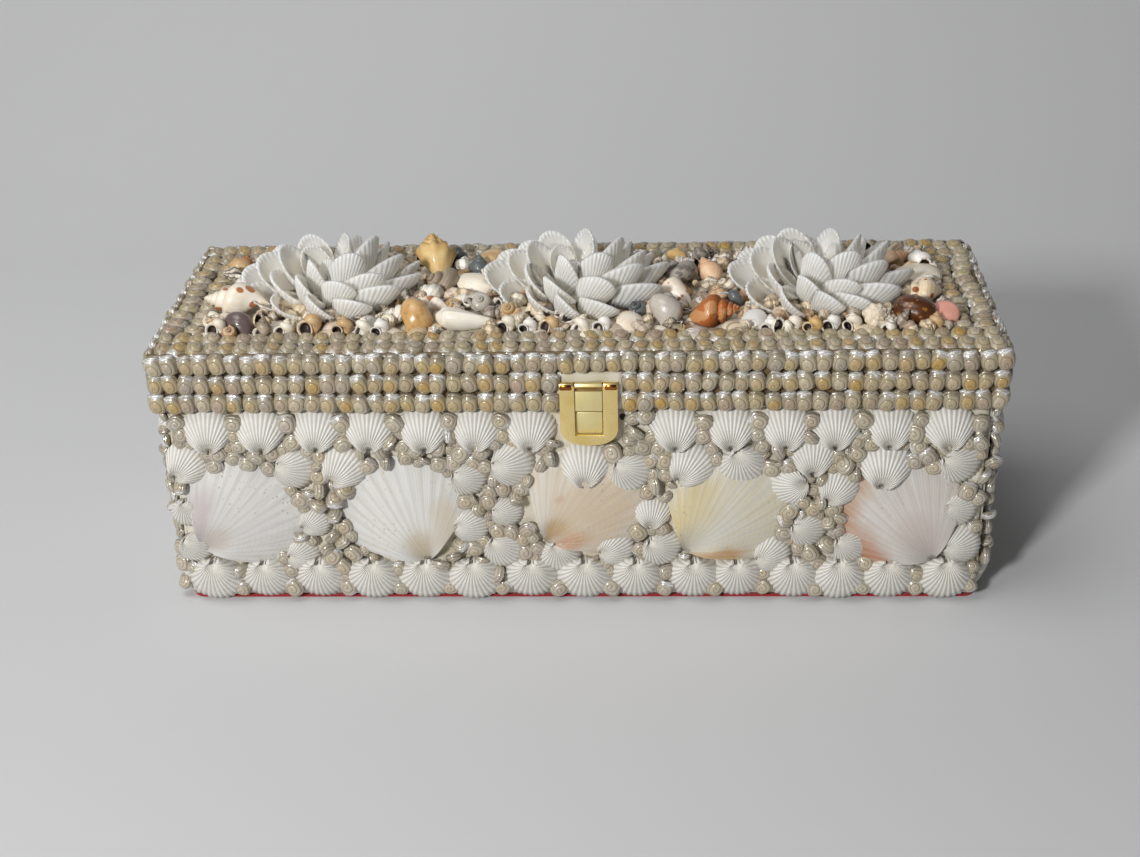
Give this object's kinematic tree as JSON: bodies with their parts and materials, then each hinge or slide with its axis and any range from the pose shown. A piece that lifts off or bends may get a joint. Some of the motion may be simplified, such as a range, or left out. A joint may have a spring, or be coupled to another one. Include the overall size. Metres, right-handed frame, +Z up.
{
  "type": "shell box",
  "caption": "Rectangular keepsake box covered in sea shells, with a hinged lid, shell flowers on top and a gold front latch.",
  "frame": {"origin": "middle of the flat underside of the felt cover, which rests on the table", "axes": "+Z up, the latch side faces -Y, +X to the right along the box's length"},
  "size_m": [0.3712, 0.132, 0.1493],
  "materials": {
    "board": "bare pale board",
    "felt": "red felt",
    "small_shells": "cream plaster set with small mixed shells",
    "ark_shell": "chalky white ribbed shell on cream plaster",
    "scallop_shell": "satin cream and peach shell",
    "button_shell": "pearly beige shell",
    "latch_gold": "polished gold-coloured plate",
    "hinge_brass": "satin brass",
    "spotted_whelk_shell": "satin patterned shell",
    "purple_moon_shell": "satin patterned shell",
    "yellow_whelk_shell": "satin patterned shell",
    "striped_turban_shell": "satin patterned shell",
    "cream_cockle_shell": "satin patterned shell",
    "orange_moon_shell": "satin patterned shell",
    "white_olive_shell": "satin patterned shell",
    "grey_moon_shell": "satin patterned shell",
    "rust_turban_shell": "satin patterned shell",
    "spotted_cone_shell": "satin patterned shell",
    "mottled_turban_shell": "satin patterned shell",
    "peach_whelk_shell": "satin patterned shell",
    "white_disc_shell": "satin patterned shell",
    "brown_cowrie_shell": "satin patterned shell",
    "tiled_whelk_shell": "satin patterned shell",
    "cream_clam_shell": "satin patterned shell"
  },
  "bodies": {
    "box": {"box_boards": "board", "felt_cover": "felt", "box_lining": "felt", "front_shellwork": "ark_shell", "back_shellwork": "ark_shell", "left_shellwork": "ark_shell", "right_shellwork": "ark_shell", "front_scallop_1": "scallop_shell", "front_scallop_2": "scallop_shell", "front_scallop_3": "scallop_shell", "front_scallop_4": "scallop_shell", "front_scallop_5": "scallop_shell", "back_scallop_1": "scallop_shell", "back_scallop_2": "scallop_shell", "back_scallop_3": "scallop_shell", "back_scallop_4": "scallop_shell", "back_scallop_5": "scallop_shell", "left_scallop_1": "scallop_shell", "right_scallop_1": "scallop_shell", "latch_catch": "latch_gold", "hinge_left_box_leaf": "hinge_brass", "hinge_right_box_leaf": "hinge_brass"},
    "lid": {"lid_boards": "board", "lid_lining": "felt", "lid_front_buttons": "button_shell", "lid_back_buttons": "button_shell", "lid_left_buttons": "button_shell", "lid_right_buttons": "button_shell", "lid_top_front_buttons": "button_shell", "lid_top_back_buttons": "button_shell", "lid_top_left_buttons": "button_shell", "lid_top_right_buttons": "button_shell", "panel_bed": "small_shells", "flower_left": "ark_shell", "flower_middle": "ark_shell", "flower_right": "ark_shell", "spotted_whelk_shell": "spotted_whelk_shell", "purple_moon_shell": "purple_moon_shell", "yellow_whelk_shell": "yellow_whelk_shell", "striped_turban_shell": "striped_turban_shell", "cream_cockle_shell": "cream_cockle_shell", "orange_moon_shell": "orange_moon_shell", "white_olive_shell": "white_olive_shell", "grey_moon_shell": "grey_moon_shell", "rust_turban_shell": "rust_turban_shell", "spotted_cone_shell": "spotted_cone_shell", "mottled_turban_shell": "mottled_turban_shell", "peach_whelk_shell": "peach_whelk_shell", "white_disc_shell": "white_disc_shell", "brown_cowrie_shell": "brown_cowrie_shell", "tiled_whelk_shell": "tiled_whelk_shell", "cream_clam_shell": "cream_clam_shell", "latch_plate": "latch_gold", "hinge_left_lid_leaf": "hinge_brass", "hinge_right_lid_leaf": "hinge_brass"},
    "latch": {"latch_frame": "latch_gold"}
  },
  "joints": [
    {"name": "lid_hinge", "type": "hinge", "parent": "box", "child": "lid", "pos_m": [0, 0.066, 0.09725], "axis": [-1, 0, 0], "range_deg": [0, 100]},
    {"name": "latch_hinge", "type": "hinge", "parent": "lid", "child": "latch", "pos_m": [0.0062, -0.0622, 0.11], "axis": [-1, 0, 0], "range_deg": [0, 110]}
  ]
}
